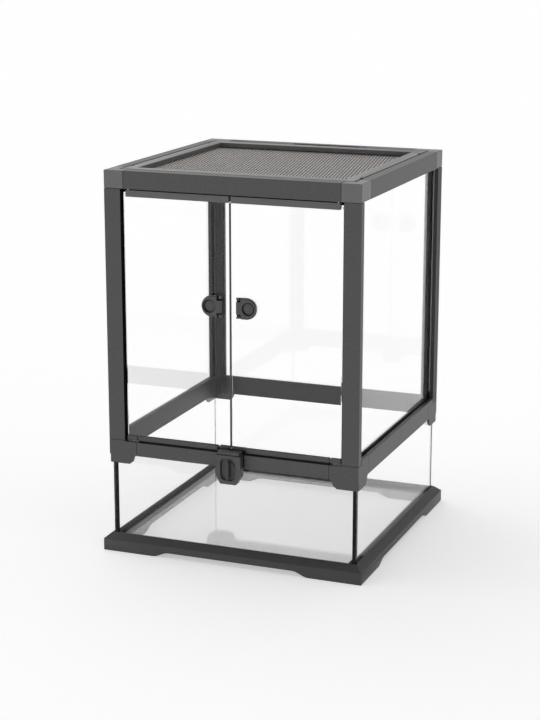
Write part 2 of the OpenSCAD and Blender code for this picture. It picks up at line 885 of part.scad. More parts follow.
module door_pane(in_x) {
    difference() {
        block(in_x, door_edge_x, glass_y0, glass_y1, door_glass_z0, door_glass_z1);
        upright(glass_y0 - 1, glass_y1 + 1) translate([handle_x, handle_zc]) circle(r = 3);
    }
}

// A U-strip: closed above for the top, below for the bottom
module door_strip(x0, x1, z0, z1, slot_z0, slot_z1) {
    difference() {
        block(x0, x1, strip_y0, strip_y1, z0, z1);
        block(x0 - 1, x1 + 1, glass_y0 - 0.1, glass_y1 + 0.1, slot_z0, slot_z1);
    }
}

module door_top_strip(in_x) {
    difference() {
        door_strip(in_x, strip_end_x, top_strip_z0, top_strip_z1,
            top_strip_z0 - 1, door_glass_z1 + 0.1);
        translate([hinge_x, hinge_y, door_glass_z1 + 0.6]) cylinder(h = 10, r = pin_r + 0.02);
    }
}

module door_bottom_strip(in_x) {
    door_strip(in_x, shoe_x0 - 1, strip_z0, strip_z1, door_glass_z0 - 0.1, strip_z1 + 1);
}

// The shoe clamps the pane's lower corner and holds the lower pin
module door_shoe() {
    difference() {
        door_strip(shoe_x0, shoe_x1, strip_z0, strip_z1, door_glass_z0 - 0.1,
            strip_z1 + 1);
        translate([hinge_x, hinge_y, strip_z0 - 1]) cylinder(h = 4.6, r = pin_r + 0.02);
    }
}

module door_pins() {
    translate([hinge_x, hinge_y, pin_low]) cylinder(h = strip_z0 + 3.4 - pin_low, r = pin_r);
    translate([hinge_x, hinge_y, door_glass_z1 + 0.8])
        cylinder(h = pin_top - door_glass_z1 - 0.8, r = pin_r);
}

module door_keeper(x0, x1) {
    door_strip(x0, x1, keeper_z0, keeper_z1, door_glass_z0 - 0.1, keeper_z1 + 1);
}

// D-shaped outline round the handle's centre, flat towards the middle of the doors
module handle_outline(inset) {
    translate([-handle_in, 0]) circle(r = handle_r - inset, $fn = 40);
    rect(-handle_flat + inset, -handle_in, -handle_r + inset, handle_r - inset);
}

module at_handle() {
    translate([handle_x, 0, handle_zc]) children();
}

// Cover of a handle: a plate that overhangs its foot, so that a finger pulls behind it,
// with a ringed well for the cap, and a nib in a deep notch at two corners
module door_handle() {
    notch_w = 5.6;
    notch_h = 5;
    nib_gap = 1.7;
    face_y = handle_y + 0.8;
    back_y = handle_y + 3;
    foot_y = handle_y + 5;
    at_handle() difference() {
        union() {
            hull() {
                upright(handle_y, back_y) handle_outline(1);
                upright(face_y, back_y) handle_outline(0);
            }
            hull() {
                upright(back_y - 0.2, back_y) handle_outline(0.1);
                upright(back_y, foot_y) handle_outline(2);
            }
            upright(foot_y - eps, glass_y0) handle_outline(2);
        }
        upright(handle_y - 1, handle_well_y) translate([0.4, 0])
            circle(r = handle_cap_r + 1.2);
        upright(handle_y, glass_y0 + 1) circle(r = 2.2);
        for (s = [-1, 1]) flip_z(s < 0)
            block(-handle_flat - 1, -handle_flat + notch_w, handle_y - 1, foot_y,
                handle_r - notch_h, handle_r + 1);
    }
    at_handle() for (s = [-1, 1]) flip_z(s < 0) hull() {
        block(-handle_flat + 2, -handle_flat + notch_w - nib_gap, handle_y + 1.4,
            foot_y + eps, handle_r - notch_h + nib_gap, handle_r - 2);
        block(-handle_flat + 2, -handle_flat + notch_w - nib_gap, handle_y + 2.8,
            foot_y + eps, handle_r - notch_h + nib_gap, handle_r - 2 + 0.8);
        block(-handle_flat + 0.6, -handle_flat + notch_w - nib_gap, handle_y + 2.8,
            foot_y - 0.6, handle_r - notch_h + nib_gap, handle_r - 0.6);
    }
}

module flip_z(on) {
    if (on) mirror([0, 0, 1]) children();
    else children();
}

// Domed cap that snaps into the handle over its screw
module handle_cap() {
    dome = 0.7;
    r = handle_cap_r;
    big = (r * r + dome * dome) / 2 / dome;
    at_handle() translate([0, handle_well_y, 0]) rotate([90, 0, 0]) intersection() {
        difference() {
            cylinder(h = 3, r = r);
            translate([0, 0, -1]) cylinder(h = 2.6, r = 4.2);
        }
        translate([0, 0, 2.9 - big]) sphere(r = big, $fn = 96);
    }
}

module handle_screw() {
    at_handle() rotate([90, 0, 0]) {
        translate([0, 0, -handle_well_y]) cylinder(h = 1.4, r = 3.6);
        translate([0, 0, -glass_y1 - 2.4]) cylinder(h = glass_y1 + 2.4 - handle_well_y + eps,
            r = 1.9);
    }
}

// Nut behind the pane, which the screw pulls against it
module handle_back() {
    at_handle() difference() {
        upright(glass_y1, glass_y1 + 3) circle(r = handle_back_r);
        upright(glass_y1 - 1, glass_y1 + 2.5) circle(r = 1.95);
    }
}

module door_right_glass() {
    color(clear_glass) door_pane(right_in);
}

module door_left_glass() {
    color(clear_glass) mirror([1, 0, 0]) door_pane(left_in);
}

module door_right_top_strip() {
    color(frame_grey) door_top_strip(right_in);
}

module door_left_top_strip() {
    color(frame_grey) mirror([1, 0, 0]) door_top_strip(left_in);
}

module door_right_bottom_strip() {
    color(frame_grey) door_bottom_strip(right_strip_in);
}

module door_left_bottom_strip() {
    color(frame_grey) mirror([1, 0, 0]) door_bottom_strip(left_strip_in);
}

module door_right_hinge_shoe() {
    color(frame_grey) door_shoe();
}

module door_left_hinge_shoe() {
    color(frame_grey) mirror([1, 0, 0]) door_shoe();
}

module door_right_hinge_pins() {
    color(steel) door_pins();
}

module door_left_hinge_pins() {
    color(steel) mirror([1, 0, 0]) door_pins();
}

module door_right_keeper() {
    color(frame_grey) door_keeper(right_in, right_keeper);
}

module door_left_keeper() {
    color(frame_grey) mirror([1, 0, 0]) door_keeper(left_in, left_keeper);
}

module door_right_handle() {
    color(frame_grey) door_handle();
}

module door_left_handle() {
    color(frame_grey) mirror([1, 0, 0]) door_handle();
}

module door_right_handle_cap() {
    color(frame_grey) handle_cap();
}

module door_left_handle_cap() {
    color(frame_grey) mirror([1, 0, 0]) handle_cap();
}

module door_right_handle_back() {
    color(frame_grey) handle_back();
}

module door_left_handle_back() {
    color(frame_grey) mirror([1, 0, 0]) handle_back();
}

module door_right_handle_screw() {
    color(steel) handle_screw();
}

module door_left_handle_screw() {
    color(steel) mirror([1, 0, 0]) handle_screw();
}

// Seal on the left door's free edge, which closes the gap to the right door
module door_seal() {
    color(black) block(-left_in, -right_in, glass_y0 - 0.3, glass_y1 + 0.3,
        door_glass_z0, top_strip_z0 - seat);
}

// ---------------------------------------------------------------- lid

// A ring drawn from above: the lid's outline less out, and its window grown by grow
module lid_ring(out, grow) {
    difference() {
        rect(-lid_x + out, lid_x - out, lid_y0 + out, lid_y1 - out);
        rect(-lid_x + lid_rim_side - grow, lid_x - lid_rim_side + grow,
            lid_y0 + lid_rim_front - grow, lid_y1 - lid_rim_back + grow);
    }
}

// Finger notches in the lid's outer edge, near its corners
module lid_notches() {
    for (s = [-1, 1], y = [lid_y0 + 29, lid_y1 - 27])
        translate([s * lid_x, y]) polygon([[-4.4 * s, 0], [1 * s, 5], [1 * s, -5]]);
}

module lid_frame() {
    color(frame_grey) {
        translate([0, 0, screen_z]) linear_extrude(screen_depth) difference() {
            lid_ring(0, 0);
            lid_notches();
        }
        translate([0, 0, lid_z0]) linear_extrude(lid_h - screen_depth + eps) difference() {
            rect(-lid_x, lid_x, lid_y0, lid_y1);
            rect(-lid_x + lid_skirt, lid_x - lid_skirt, lid_y0 + lid_skirt,
                lid_y1 - lid_skirt);
            lid_notches();
        }
    }
}

// The screen, clamped under the rim
module lid_screen() {
    hx = lid_x - lid_skirt - 0.3;
    y0 = lid_y0 + lid_skirt + 0.3;
    y1 = lid_y1 - lid_skirt - 0.3;
    hole = (screen_pitch - screen_web) / 2;
    w0 = lid_y0 + lid_rim_front;
    w1 = lid_y1 - lid_rim_back;
    nx = floor((lid_x - lid_rim_side - hole) / screen_pitch);
    ny = floor(((w1 - w0) / 2 - hole) / screen_pitch);
    color(black) translate([0, 0, screen_z - screen_t]) linear_extrude(screen_t)
        difference() {
            rect(-hx, hx, y0, y1);
            for (i = [-nx:nx], j = [-ny:ny])
                translate([i * screen_pitch, (w0 + w1) / 2 + j * screen_pitch])
                    rect(-hole, hole, -hole, hole);
        }
}

// The ring that holds the screen up against the rim
module lid_retainer() {
    color(frame_grey) translate([0, 0, lid_z0]) linear_extrude(screen_z - screen_t - lid_z0)
        lid_ring(lid_skirt + 0.2, 0);
}

// The shutter of the cable port, with its thumb rib
module cable_port_shutter() {
    x0 = port_x0 - 2.5;
    x1 = port_x0 + port_len + 1;
    v0 = groove_v0 + 0.2;
    v1 = back_rebate - 0.3;
    color(frame_grey) mirror([0, 1, 0]) translate([0, -hd, 0]) {
        block(x0, x1, v0, v1, shutter_z, shutter_z + shutter_t);
        block(thumb_x, thumb_x + 4, v0 + 1.1, v1 - 0.5, shutter_z, shutter_z + shutter_t + 5);
    }
}

// ---------------------------------------------------------------- nodes

base_tray();
tank_floor_glass();
tank_front_glass();
tank_back_glass();
tank_left_glass();
tank_right_glass();
tank_silicone();
mid_rail_front();
mid_rail_back();
mid_rail_left();
mid_rail_right();
mid_corner_front_left();
mid_corner_front_right();
mid_corner_back_left();
mid_corner_back_right();
post_front_left();
post_front_right();
post_back_left();
post_back_right();
side_glass_left();
side_glass_right();
back_glass();
top_rail_front();
top_rail_back();
top_rail_left();
top_rail_right();
top_corner_front_left();
top_corner_front_right();
top_corner_back_left();
top_corner_back_right();
lock_housing();
lock_back_plate();
lock_screws();
door_left_glass();
door_left_top_strip();
door_left_bottom_strip();
door_left_hinge_shoe();
door_left_hinge_pins();
door_left_keeper();
door_left_handle();
door_left_handle_cap();
door_left_handle_back();
door_left_handle_screw();
door_seal();
door_right_glass();
door_right_top_strip();
door_right_bottom_strip();
door_right_hinge_shoe();
door_right_hinge_pins();
door_right_keeper();
door_right_handle();
door_right_handle_cap();
door_right_handle_back();
door_right_handle_screw();
lock_knob();
lock_bolt();
lid_frame();
lid_screen();
lid_retainer();
cable_port_shutter();
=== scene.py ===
import json
import math

import bpy
from bpy.props import FloatProperty, FloatVectorProperty, PointerProperty
from bpy.types import Operator, Panel, PropertyGroup
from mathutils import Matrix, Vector


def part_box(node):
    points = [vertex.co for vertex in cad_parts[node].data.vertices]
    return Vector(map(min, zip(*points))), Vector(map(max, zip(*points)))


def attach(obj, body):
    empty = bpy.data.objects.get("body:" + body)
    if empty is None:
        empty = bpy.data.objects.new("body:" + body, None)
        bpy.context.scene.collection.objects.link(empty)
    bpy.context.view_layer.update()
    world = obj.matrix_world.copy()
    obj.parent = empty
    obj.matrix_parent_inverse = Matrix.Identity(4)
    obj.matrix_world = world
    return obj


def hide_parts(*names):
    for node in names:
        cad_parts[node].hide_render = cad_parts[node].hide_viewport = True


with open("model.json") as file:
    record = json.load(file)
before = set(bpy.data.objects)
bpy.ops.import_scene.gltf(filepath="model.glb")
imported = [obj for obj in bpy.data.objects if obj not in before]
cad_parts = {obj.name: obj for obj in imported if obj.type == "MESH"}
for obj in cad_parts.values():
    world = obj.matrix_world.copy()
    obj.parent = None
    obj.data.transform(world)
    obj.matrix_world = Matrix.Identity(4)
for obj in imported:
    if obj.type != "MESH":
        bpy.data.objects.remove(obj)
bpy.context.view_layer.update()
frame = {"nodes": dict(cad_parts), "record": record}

bl_info = {
    "name": "Glass terrarium",
    "version": (1, 0, 0),
    "blender": (4, 5, 0),
    "location": "3D View > Sidebar > Terrarium",
    "description": "Finishes the pieces of a front-opening glass terrarium",
    "category": "Add Mesh",
}

MM = 0.001

CAMERA_PLACE = (0.745147, -1.925055, 0.728741)
CAMERA_TILT, CAMERA_SWING = 75.8406, 21.4774     # degrees
CAMERA_LENS, CAMERA_SENSOR = 88.546, 36          # millimetres

FLOOR_SPAN = 40                                  # metres
FLOOR_SHADE, FLOOR_GLOW = 0.8, 0.44
ROOM_STRENGTH = 1.6
# how bright the room is at each height of the line of sight, from level (0) to upright (1)
ROOM_LEVEL, ROOM_TOP = 1.0, 0.7
ROOM_BANDS = ((0.3, 1.0), (0.55, 0.65))
# where the room is in shade, how near that direction the shade begins, and how deep it is
ROOM_SHADES = (
    ((0.15, -0.75, 0.64), 0.45, 0.8),            # above the doors
    ((0.7, 0.7, 0.1), 0.0, 0.66),                # behind the right side
)
SHADE_CORE = 0.95                                # how near that direction it is at its deepest

NEAR = 0.05 * MM                                 # two places this close are one
SOFT_EDGE = 0.15 * MM                            # rounding of the small soft pieces


def linear(colour):
    """An sRGB hex colour, such as "4b4b4b", as the linear colour that shaders use."""
    parts = [int(colour[i:i + 2], 16) / 255 for i in (0, 2, 4)]
    return [c / 12.92 if c <= 0.04045 else ((c + 0.055) / 1.055) ** 2.4 for c in parts]


# ------------------------------------------------------------------ values


class TerrariumSizes(PropertyGroup):
    """Sizes of the finish, which the construction leaves to the looks"""

    rail_edge: FloatProperty(
        name="Rail edge", description="Rounding of an extruded rail's edges",
        default=0.35 * MM, min=0.1 * MM, max=1 * MM, unit="LENGTH")
    moulded_edge: FloatProperty(
        name="Moulded edge", description="Rounding of a moulded piece's edges",
        default=0.6 * MM, min=0.1 * MM, max=1.5 * MM, unit="LENGTH")
    fine_edge: FloatProperty(
        name="Fine edge", description="Rounding of the edges of small pieces",
        default=0.18 * MM, min=0.05 * MM, max=0.6 * MM, unit="LENGTH")
    reveal: FloatProperty(
        name="Reveal", description="Gap that shows where two pieces of the frame meet",
        default=0.35 * MM, min=0, max=1 * MM, unit="LENGTH")
    lid_reveal: FloatProperty(
        name="Lid reveal", description="How far the rim of the lid is drawn in",
        default=1 * MM, min=0, max=2 * MM, unit="LENGTH")
    glass_arris: FloatProperty(
        name="Glass arris", description="Ground chamfer on the edges of a pane",
        default=0.35 * MM, min=0.1 * MM, max=1 * MM, unit="LENGTH")
    strand_pitch: FloatProperty(
        name="Strand pitch", description="Spacing of the strands in the lid's screen",
        default=1.95 * MM, min=1 * MM, max=5 * MM, unit="LENGTH")
    strand_width: FloatProperty(
        name="Strand width", description="Width of a strand in the lid's screen",
        default=0.9 * MM, min=0.2 * MM, max=3 * MM, unit="LENGTH")
    bridge_pitch: FloatProperty(
        name="Bridge pitch", description="Spacing of the bridges along one slot of the screen",
        default=19.9 * MM, min=2 * MM, max=30 * MM, unit="LENGTH")
    # the screen's bright wires are painted glints
    wire_width: FloatProperty(
        name="Wire width", description="Width of a bright wire in the lid's screen",
        default=1.05 * MM, min=0.1 * MM, max=2 * MM, unit="LENGTH")
    bridge_width: FloatProperty(
        name="Bridge width", description="Width of a bridge in the lid's screen",
        default=10.4 * MM, min=1 * MM, max=15 * MM, unit="LENGTH")


class TerrariumColours(PropertyGroup):
    """Colours of the finish"""

    rail: FloatVectorProperty(
        name="Rails", description="Grained rails and posts", subtype="COLOR",
        size=3, min=0, max=1, default=linear("434343"))
    # the back posts are the rails' vinyl painted darker: painted shade for the dimmer light
    # inside the doors
    back_post: FloatVectorProperty(
        name="Back posts", description="Darker grained posts at the back",
        subtype="COLOR", size=3, min=0, max=1, default=linear("383838"))
    corner: FloatVectorProperty(
        name="Top corners", description="Smooth corner pieces of the top frame",
        subtype="COLOR", size=3, min=0, max=1, default=linear("606060"))
    base: FloatVectorProperty(
        name="Base", description="Moulded base tray", subtype="COLOR",
        size=3, min=0, max=1, default=linear("343434"))
    fitting: FloatVectorProperty(
        name="Fittings", description="Lock, handles and hinge shoes", subtype="COLOR",
        size=3, min=0, max=1, default=linear("3f3f3f"))
    strip: FloatVectorProperty(
        name="Strips", description="Strips along the doors' edges", subtype="COLOR",
        size=3, min=0, max=1, default=linear("575757"))
    knob: FloatVectorProperty(
        name="Knob", description="Turning knob of the lock", subtype="COLOR",
        size=3, min=0, max=1, default=linear("2c2c2c"))
    screen: FloatVectorProperty(
        name="Screen", description="Sheet of the lid's screen", subtype="COLOR",
        size=3, min=0, max=1, default=linear("332f2c"))


def sizes():
    return bpy.context.scene.terrarium_sizes


def colours():
    return bpy.context.scene.terrarium_colours


# ------------------------------------------------------------------ materials


def add_node(tree, kind, settings=(), links=()):
    """Adds a shader node, with its settings and the sockets that feed it."""
    made = tree.nodes.new(kind)
    for key, value in dict(settings).items():
        if isinstance(key, int) or key in made.inputs:
            made.inputs[key].default_value = value
        else:
            setattr(made, key, value)
    for key, socket in dict(links).items():
        tree.links.new(socket, made.inputs[key])
    return made


def new_material(name):
    """A material whose one Principled shader is returned with its node tree."""
    material = bpy.data.materials.new(name)
    material.use_nodes = True
    shader = material.node_tree.nodes["Principled BSDF"]
    return material, material.node_tree, shader


def mottled(tree, coords, colour, grain_mm, depth):
    """A colour that drifts a little lighter and darker, as in moulded plastic."""
    grain = add_node(
        tree, "ShaderNodeTexNoise",
        {"Scale": 1 / (grain_mm * MM), "Detail": 3.0, "Roughness": 0.6}, {"Vector": coords})
    ramp = add_node(tree, "ShaderNodeValToRGB", {}, {"Fac": grain.outputs["Fac"]})
    low, high = ramp.color_ramp.elements
    low.position, high.position = 0.3, 0.7
    low.color = [c * (1 - depth) for c in colour] + [1]
    high.color = [min(1, c * (1 + depth)) for c in colour] + [1]
    return ramp.outputs["Color"], grain.outputs["Fac"]


def grained_plastic(name, colour, stretch, roughness=0.46, gloss=0.5, relief=1.0):
    """Extruded rigid vinyl with a fine grain pressed along its length.

    It scatters softly, and its grain breaks the sheen up into short streaks. The relief
    is how deep the grain is against the usual one."""
    material, tree, shader = new_material(name)
    place = add_node(tree, "ShaderNodeTexCoord").outputs["Object"]
    along = add_node(tree, "ShaderNodeMapping", {"Scale": stretch}, {"Vector": place})
    # the pressed grain is 0.5 mm across; it is drawn at 1.5 mm so that it shows
    shade, fine = mottled(tree, along.outputs["Vector"], colour, 1.5, 0.22 * relief)
    tree.links.new(shade, shader.inputs["Base Color"])
    bump = add_node(
        tree, "ShaderNodeBump", {"Strength": 0.25 * relief, "Distance": 0.08 * MM},
        {"Height": fine})
    tree.links.new(bump.outputs["Normal"], shader.inputs["Normal"])
    sheen = add_node(
        tree, "ShaderNodeMapRange",
        {"To Min": roughness - 0.05, "To Max": roughness + 0.06}, {"Value": fine})
    tree.links.new(sheen.outputs["Result"], shader.inputs["Roughness"])
    shader.inputs["Specular IOR Level"].default_value = gloss
    shader.inputs["IOR"].default_value = 1.53
    return material


def moulded_plastic(name, colour, roughness, texture_mm=0.9, depth=0.05, strength=0.15):
    """Injection-moulded ABS from a spark-eroded tool: an even satin with a tiny pebble."""
    material, tree, shader = new_material(name)
    place = add_node(tree, "ShaderNodeTexCoord").outputs["Object"]
    shade, _ = mottled(tree, place, colour, 14, depth)
    tree.links.new(shade, shader.inputs["Base Color"])
    # the tool's texture is 0.2 mm across; it is drawn coarser so that it shows
    pebble = add_node(
        tree, "ShaderNodeTexNoise",
        {"Scale": 1 / (texture_mm * MM), "Detail": 2.0, "Roughness": 0.5}, {"Vector": place})
    bump = add_node(
        tree, "ShaderNodeBump", {"Strength": strength, "Distance": 0.05 * MM},
        {"Height": pebble.outputs["Fac"]})
    tree.links.new(bump.outputs["Normal"], shader.inputs["Normal"])
    sheen = add_node(
        tree, "ShaderNodeMapRange",
        {"To Min": roughness - 0.04, "To Max": roughness + 0.04},
        {"Value": pebble.outputs["Fac"]})
    tree.links.new(sheen.outputs["Result"], shader.inputs["Roughness"])
    shader.inputs["IOR"].default_value = 1.54
    return material


def float_glass(name, index):
    """Clear float glass with ground edges, colourless.

    The room's light goes straight through it, a little dimmed, so what stands behind a
    pane is lit. The lower its refractive index, the less of the room it mirrors."""
    material, tree, shader = new_material(name)
    shader.inputs["Base Color"].default_value = (1, 1, 1, 1)
    shader.inputs["Transmission Weight"].default_value = 1.0
    shader.inputs["Roughness"].default_value = 0.0
    shader.inputs["IOR"].default_value = index
    output = tree.nodes["Material Output"]
    path = add_node(tree, "ShaderNodeLightPath")
    clear = add_node(tree, "ShaderNodeBsdfTransparent", {"Color": linear("cacaca") + [1]})
    mix = add_node(
        tree, "ShaderNodeMixShader", {},
        {0: path.outputs["Is Shadow Ray"], 1: shader.outputs["BSDF"], 2: clear.outputs["BSDF"]})
    tree.links.new(mix.outputs["Shader"], output.inputs["Surface"])
    return material


def silicone(name, colour, roughness, gloss=0.5):
    """Acetoxy silicone drawn out with a wet finger: black, soft-edged and half glossy.

    With no gloss it is a closed-cell foam, which stays black at any angle."""
    material, tree, shader = new_material(name)
    place = add_node(tree, "ShaderNodeTexCoord").outputs["Object"]
    shade, fine = mottled(tree, place, colour, 6, 0.25)
    tree.links.new(shade, shader.inputs["Base Color"])
    bump = add_node(
        tree, "ShaderNodeBump", {"Strength": 0.3, "Distance": 0.15 * MM}, {"Height": fine})
    tree.links.new(bump.outputs["Normal"], shader.inputs["Normal"])
    shader.inputs["Roughness"].default_value = roughness
    shader.inputs["Specular IOR Level"].default_value = gloss
    shader.inputs["IOR"].default_value = 1.41
    return material


def plain_steel(name, colour, smooth, rough):
    """Drawn steel wire and turned screws: a metal with faint lines round it."""
    material, tree, shader = new_material(name)
    place = add_node(tree, "ShaderNodeTexCoord").outputs["Object"]
    along = add_node(tree, "ShaderNodeMapping", {"Scale": (1, 1, 6)}, {"Vector": place})
    shade, fine = mottled(tree, along.outputs["Vector"], colour, 2, 0.08)
    tree.links.new(shade, shader.inputs["Base Color"])
    sheen = add_node(
        tree, "ShaderNodeMapRange", {"To Min": smooth, "To Max": rough}, {"Value": fine})
    tree.links.new(sheen.outputs["Result"], shader.inputs["Roughness"])
    shader.inputs["Metallic"].default_value = 1.0
    return material


def coated_sheet():
    """Slotted steel sheet with a baked coat: a brownish grey with a dull gleam."""
    material, tree, shader = new_material("baked_coat_on_steel")
    place = add_node(tree, "ShaderNodeTexCoord").outputs["Object"]
    shade, fine = mottled(tree, place, list(colours().screen), 3, 0.2)
    tree.links.new(shade, shader.inputs["Base Color"])
    bump = add_node(
        tree, "ShaderNodeBump", {"Strength": 0.3, "Distance": 0.05 * MM}, {"Height": fine})
    tree.links.new(bump.outputs["Normal"], shader.inputs["Normal"])
    shader.inputs["Roughness"].default_value = 0.5
    shader.inputs["IOR"].default_value = 1.5
    return material


MATERIALS = {}


def material_for(kind):
    """The finish of that kind, made the first time that it is asked for."""
    makers = {
        "rail_x": lambda: grained_plastic("grained_vinyl_x", list(colours().rail), (0.5, 1, 1)),
        "rail_y": lambda: grained_plastic("grained_vinyl_y", list(colours().rail), (1, 0.5, 1)),
        "rail_z": lambda: grained_plastic("grained_vinyl_z", list(colours().rail), (1, 1, 0.5)),
        # the rails' vinyl painted darker, as painted shade on the back posts
        "back_post": lambda: grained_plastic(
            "grained_vinyl_painted_shade", list(colours().back_post), (1, 1, 0.5), 0.55,
            gloss=0.35, relief=0.35),
        "corner": lambda: moulded_plastic("smooth_abs_corner", list(colours().corner), 0.4),
        "base": lambda: moulded_plastic("satin_abs_base", list(colours().base), 0.5),
        "fitting": lambda: moulded_plastic("satin_abs_fitting", list(colours().fitting), 0.42),
        "strip": lambda: moulded_plastic("satin_vinyl_strip", list(colours().strip), 0.42),
        "knob": lambda: moulded_plastic("glossy_abs_knob", list(colours().knob), 0.3),
        # float glass has an index of 1.5; the panes get less, down to the doors, which
        # show hardly any of the room
        "glass": lambda: float_glass("float_glass", 1.45),
        "tank_glass": lambda: float_glass("float_glass_tank", 1.3),
        "door_glass": lambda: float_glass("float_glass_doors", 1.25),
        "silicone": lambda: silicone("tooled_black_silicone", linear("060606"), 0.5, gloss=0.2),
        "seal": lambda: silicone("soft_vinyl_seal", linear("4c4c4c"), 0.6),
        # black foam for the jamb and draught strips; it also makes the black pieces that are
        # painted shade round the lid, in the handles' notches and beside the lock
        "foam": lambda: silicone("black_foam_and_painted_shade", linear("0a0a0a"), 0.9, gloss=0.05),
        "steel": lambda: plain_steel("drawn_steel", linear("b4b4b2"), 0.25, 0.4),
        # bright steel for the screen's wires, which are painted glints
        "wire": lambda: plain_steel("bright_wire_painted_glint", linear("e6e0dc"), 0.35, 0.45),
        "screen": coated_sheet,
    }
    if kind not in MATERIALS:
        MATERIALS[kind] = makers[kind]()
    return MATERIALS[kind]


# ------------------------------------------------------------------ modelling


def deselect():
    """Leaves nothing selected, since the CAD nodes arrive selected."""
    if bpy.context.object and bpy.context.object.mode != "OBJECT":
        bpy.ops.object.mode_set(mode="OBJECT")
    bpy.ops.object.select_all(action="DESELECT")


def take(piece):
    """Makes a piece the only one that the next operator acts on."""
    deselect()
    piece.select_set(True)
    bpy.context.view_layer.objects.active = piece
    return piece


def new_piece(name):
    """Names the primitive that was just added and takes it."""
    piece = bpy.context.object
    piece.name = name
    piece.data.name = name
    return take(piece)


def apply_place():
    """Moves a piece's place, turn and size into its mesh."""
    bpy.ops.object.transform_apply(location=True, rotation=True, scale=True)


def block(name, size, place):
    """Adds a block of that size, centred on a place, to be shaped further."""
    deselect()
    bpy.ops.mesh.primitive_cube_add(size=1)
    piece = new_piece(name)
    piece.scale = size
    piece.location = place
    apply_place()
    return piece


def rod(name, sides, size, place, turn=(0, 0, 0)):
    """Adds a rod with that many sides, turned and then sized, centred on a place."""
    deselect()
    bpy.ops.mesh.primitive_cylinder_add(vertices=sides, radius=0.5, depth=1, rotation=turn)
    piece = new_piece(name)
    apply_place()
    piece.scale = size
    piece.location = place
    apply_place()
    return piece


def join(pieces):
    """Joins pieces into the first of them."""
    take(pieces[0])
    for piece in pieces:
        piece.select_set(True)
    bpy.ops.object.join()
    return pieces[0]


def select_parts(piece, domain, test):
    """In edit mode, selects only the vertices, edges or faces that pass the test."""
    bpy.ops.object.mode_set(mode="EDIT")
    bpy.ops.mesh.select_mode(type=domain)
    bpy.ops.mesh.select_all(action="DESELECT")
    bpy.ops.object.mode_set(mode="OBJECT")
    mesh = piece.data
    if domain == "VERT":
        for v in mesh.vertices:
            v.select = test(v.co)
    elif domain == "EDGE":
        for e in mesh.edges:
            a, b = (mesh.vertices[i].co for i in e.vertices)
            e.select = test(a, b)
    else:
        for f in mesh.polygons:
            f.select = test(f.center, f.normal)
    bpy.ops.object.mode_set(mode="EDIT")


def use_modifier(piece, kind, **settings):
    """Adds a modifier with its settings and applies it."""
    take(piece)
    modifier = piece.modifiers.new(kind.title(), kind)
    for key, value in settings.items():
        setattr(modifier, key, value)
    bpy.ops.object.modifier_apply(modifier=modifier.name)


def repeat(piece, count, step):
    """Repeats a piece's shape in a row, at a step that is a vector."""
    use_modifier(
        piece, "ARRAY", count=count, use_relative_offset=False,
        use_constant_offset=True, constant_offset_displace=step)


def round_edges(piece, width, segments=2, angle=28):
    """Rounds every edge sharper than the angle, keeping the flats flat."""
    take(piece)
    bpy.ops.object.shade_smooth_by_angle(angle=math.radians(angle))
    use_modifier(
        piece, "BEVEL", width=width, segments=segments, limit_method="ANGLE",
        angle_limit=math.radians(angle), use_clamp_overlap=False, harden_normals=True,
        miter_outer="MITER_ARC")


def copy_of(node, name, flats=True):
    """A copy of a CAD node's mesh as a piece of its own, with its triangles merged.

    A flat ring can't be one face, so a piece with rings keeps its triangles."""
    deselect()
    piece = bpy.data.objects.new(name, frame["nodes"][node].data.copy())
    piece.data.name = name
    bpy.context.scene.collection.objects.link(piece)
    take(piece)
    bpy.ops.object.mode_set(mode="EDIT")
    bpy.ops.mesh.select_all(action="SELECT")
    bpy.ops.mesh.remove_doubles(threshold=0.005 * MM)
    if flats:
        bpy.ops.mesh.dissolve_limited(angle_limit=math.radians(0.5))
    bpy.ops.object.mode_set(mode="OBJECT")
    return piece


def finish(piece, kind, nodes, stands_in=True):
    """Gives a piece its material and its first node's body.

    It stands in for its nodes, unless it only adds to them."""
    piece.data.materials.clear()
    piece.data.materials.append(material_for(kind))
    first = nodes[0]
    record = frame["record"]
    body = next(b for b, n in record["behaviour"]["bodies"].items() if first in n)
    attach(piece, body)
    if stands_in:
        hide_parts(*nodes)
    return piece


def draw_in(piece, node, axis, depth):
    """Draws the two ends of a node's copy inwards along an axis."""
    low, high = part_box(node)
    for end, inward in ((low[axis], 1), (high[axis], -1)):
        select_parts(piece, "VERT", lambda co: abs(co[axis] - end) < NEAR)
        step = Vector((0, 0, 0))
        step[axis] = inward * depth
        bpy.ops.transform.translate(value=step)
        bpy.ops.object.mode_set(mode="OBJECT")


def soften(node, kind, edge, suffix, flats=True, reveal=None):
    """A softened copy of a node, standing in for it.

    A reveal draws its two ends back along an axis, so that a thin shadow line shows where
    it meets the next piece."""
    piece = copy_of(node, f"{node}_{suffix}", flats)
    if reveal:
        draw_in(piece, node, *reveal)
    round_edges(piece, edge)
    return finish(piece, kind, [node])


def paint(node, kind):
    """Gives a CAD node a better material, as it stands."""
    o = frame["nodes"][node]
    for place in o.material_slots:
        place.material = material_for(kind)
    if not o.material_slots:
        o.data.materials.append(material_for(kind))


# ------------------------------------------------------------------ operators


class TERRARIUM_OT_camera(Operator):
    """Place the camera at the viewing angle"""
    bl_idname = "terrarium.camera"
    bl_label = "Camera"

    def execute(self, context):
        bpy.ops.object.camera_add(
            location=CAMERA_PLACE,
            rotation=(math.radians(CAMERA_TILT), 0, math.radians(CAMERA_SWING)))
        camera = context.object
        camera.name = "camera"
        camera.data.lens = CAMERA_LENS
        camera.data.sensor_width = CAMERA_SENSOR
        camera.data.clip_end = 1.5 * FLOOR_SPAN
        context.scene.camera = camera
        return {"FINISHED"}


